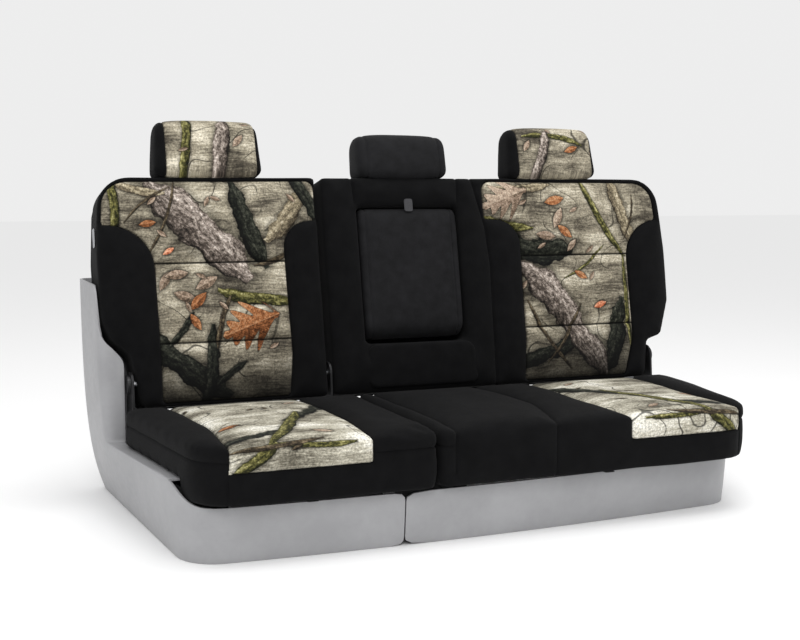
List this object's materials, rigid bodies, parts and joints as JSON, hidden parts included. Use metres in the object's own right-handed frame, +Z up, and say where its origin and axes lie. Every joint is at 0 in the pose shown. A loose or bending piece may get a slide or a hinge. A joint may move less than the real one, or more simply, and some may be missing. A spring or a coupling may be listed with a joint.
{
  "type": "rear bench seat cover set",
  "caption": "Fitted black and camouflage cover set on a split-folding truck rear bench with fold-down armrest and sliding headrests.",
  "frame": {"origin": "on the floor under the middle of the bench, at the bottom centre of its box", "axes": "+X along the bench towards the 60 percent seat, +Y rearward, +Z up"},
  "size_m": [1.5641, 0.82, 0.9126],
  "materials": {
    "black_fabric": "matt knitted neoprene-type fabric, near black",
    "camo_fabric": "printed woodland pattern on knitted fabric, matt",
    "charcoal_fabric": "dark charcoal knitted fabric with a soft sheen",
    "foam": "open-cell seat foam",
    "grey_plastic": "fine-grained moulded plastic, mid grey",
    "black_plastic": "satin black moulded plastic",
    "black_steel": "black powder coat",
    "bright_steel": "bright plated steel",
    "webbing": "black woven polyester webbing",
    "tag": "blank grey woven tag"
  },
  "bodies": {
    "base": {"base_skirt_left": "grey_plastic", "base_skirt_right": "grey_plastic", "seat_pan_left": "black_steel", "seat_pan_right": "black_steel", "seat_riser_1": "black_steel", "seat_riser_2": "black_steel", "seat_riser_3": "black_steel", "seat_riser_4": "black_steel", "cushion_foam_left": "foam", "cushion_foam_right": "foam", "cushion_cover_left": "black_fabric", "cushion_cover_right": "black_fabric", "cushion_insert_left": "camo_fabric", "cushion_insert_right": "camo_fabric", "hem_strap_left": "webbing", "hem_strap_right": "webbing", "strap_buckle_left": "black_plastic", "strap_buckle_right": "black_plastic", "hinge_bracket_left": "black_steel", "hinge_bracket_centre": "black_steel", "hinge_bracket_right": "black_steel", "pivot_cap_left": "black_plastic", "pivot_cap_right": "black_plastic"},
    "left_back": {"back_foam_left": "foam", "back_cover_left": "black_fabric", "back_insert_left": "camo_fabric", "back_board_left": "black_steel", "back_flap_left": "black_fabric", "zip_tape_left": "black_plastic", "hinge_rod_left": "bright_steel", "headrest_guide_left_1": "black_plastic", "headrest_guide_left_2": "black_plastic", "edge_tag": "tag"},
    "right_back": {"back_foam_right": "foam", "back_cover_right": "black_fabric", "back_insert_right": "camo_fabric", "back_board_right": "black_steel", "back_flap_right": "black_fabric", "zip_tape_right": "black_plastic", "hinge_rod_right": "bright_steel", "headrest_guide_centre_1": "black_plastic", "headrest_guide_centre_2": "black_plastic", "headrest_guide_right_1": "black_plastic", "headrest_guide_right_2": "black_plastic", "lower_pad": "black_fabric"},
    "armrest": {"armrest_foam": "foam", "armrest_cover": "charcoal_fabric", "armrest_tube": "bright_steel", "pull_tab": "webbing"},
    "headrest_left": {"headrest_foam_left": "foam", "headrest_cover_left": "camo_fabric", "headrest_post_left": "bright_steel"},
    "headrest_centre": {"headrest_foam_centre": "foam", "headrest_cover_centre": "charcoal_fabric", "headrest_post_centre": "bright_steel"},
    "headrest_right": {"headrest_foam_right": "foam", "headrest_cover_right": "camo_fabric", "headrest_post_right": "bright_steel"},
    "zip_pull_left": {"zip_slider_left": "bright_steel"},
    "zip_pull_right": {"zip_slider_right": "bright_steel"}
  },
  "joints": [
    {"name": "left_back_fold", "type": "hinge", "parent": "base", "child": "left_back", "pos_m": [0, 0.1474, 0.297], "axis": [1, 0, 0], "range_deg": [0, 92]},
    {"name": "right_back_fold", "type": "hinge", "parent": "base", "child": "right_back", "pos_m": [0, 0.1474, 0.297], "axis": [1, 0, 0], "range_deg": [0, 92]},
    {"name": "armrest_fold", "type": "hinge", "parent": "right_back", "child": "armrest", "pos_m": [0, 0.17785, 0.40843], "axis": [-1, 0, 0], "range_deg": [-98, 0]},
    {"name": "headrest_left_slide", "type": "slide", "parent": "left_back", "child": "headrest_left", "axis": [0, 0.1961, 0.9806], "range_m": [0, 0.06]},
    {"name": "headrest_centre_slide", "type": "slide", "parent": "right_back", "child": "headrest_centre", "axis": [0, 0.1961, 0.9806], "range_m": [0, 0.03]},
    {"name": "headrest_right_slide", "type": "slide", "parent": "right_back", "child": "headrest_right", "axis": [0, 0.1961, 0.9806], "range_m": [0, 0.06]},
    {"name": "zip_left_slide", "type": "slide", "parent": "left_back", "child": "zip_pull_left", "axis": [0, 0.1961, 0.9806], "range_m": [0, 0.38]},
    {"name": "zip_right_slide", "type": "slide", "parent": "right_back", "child": "zip_pull_right", "axis": [0, 0.1961, 0.9806], "range_m": [0, 0.38]}
  ]
}
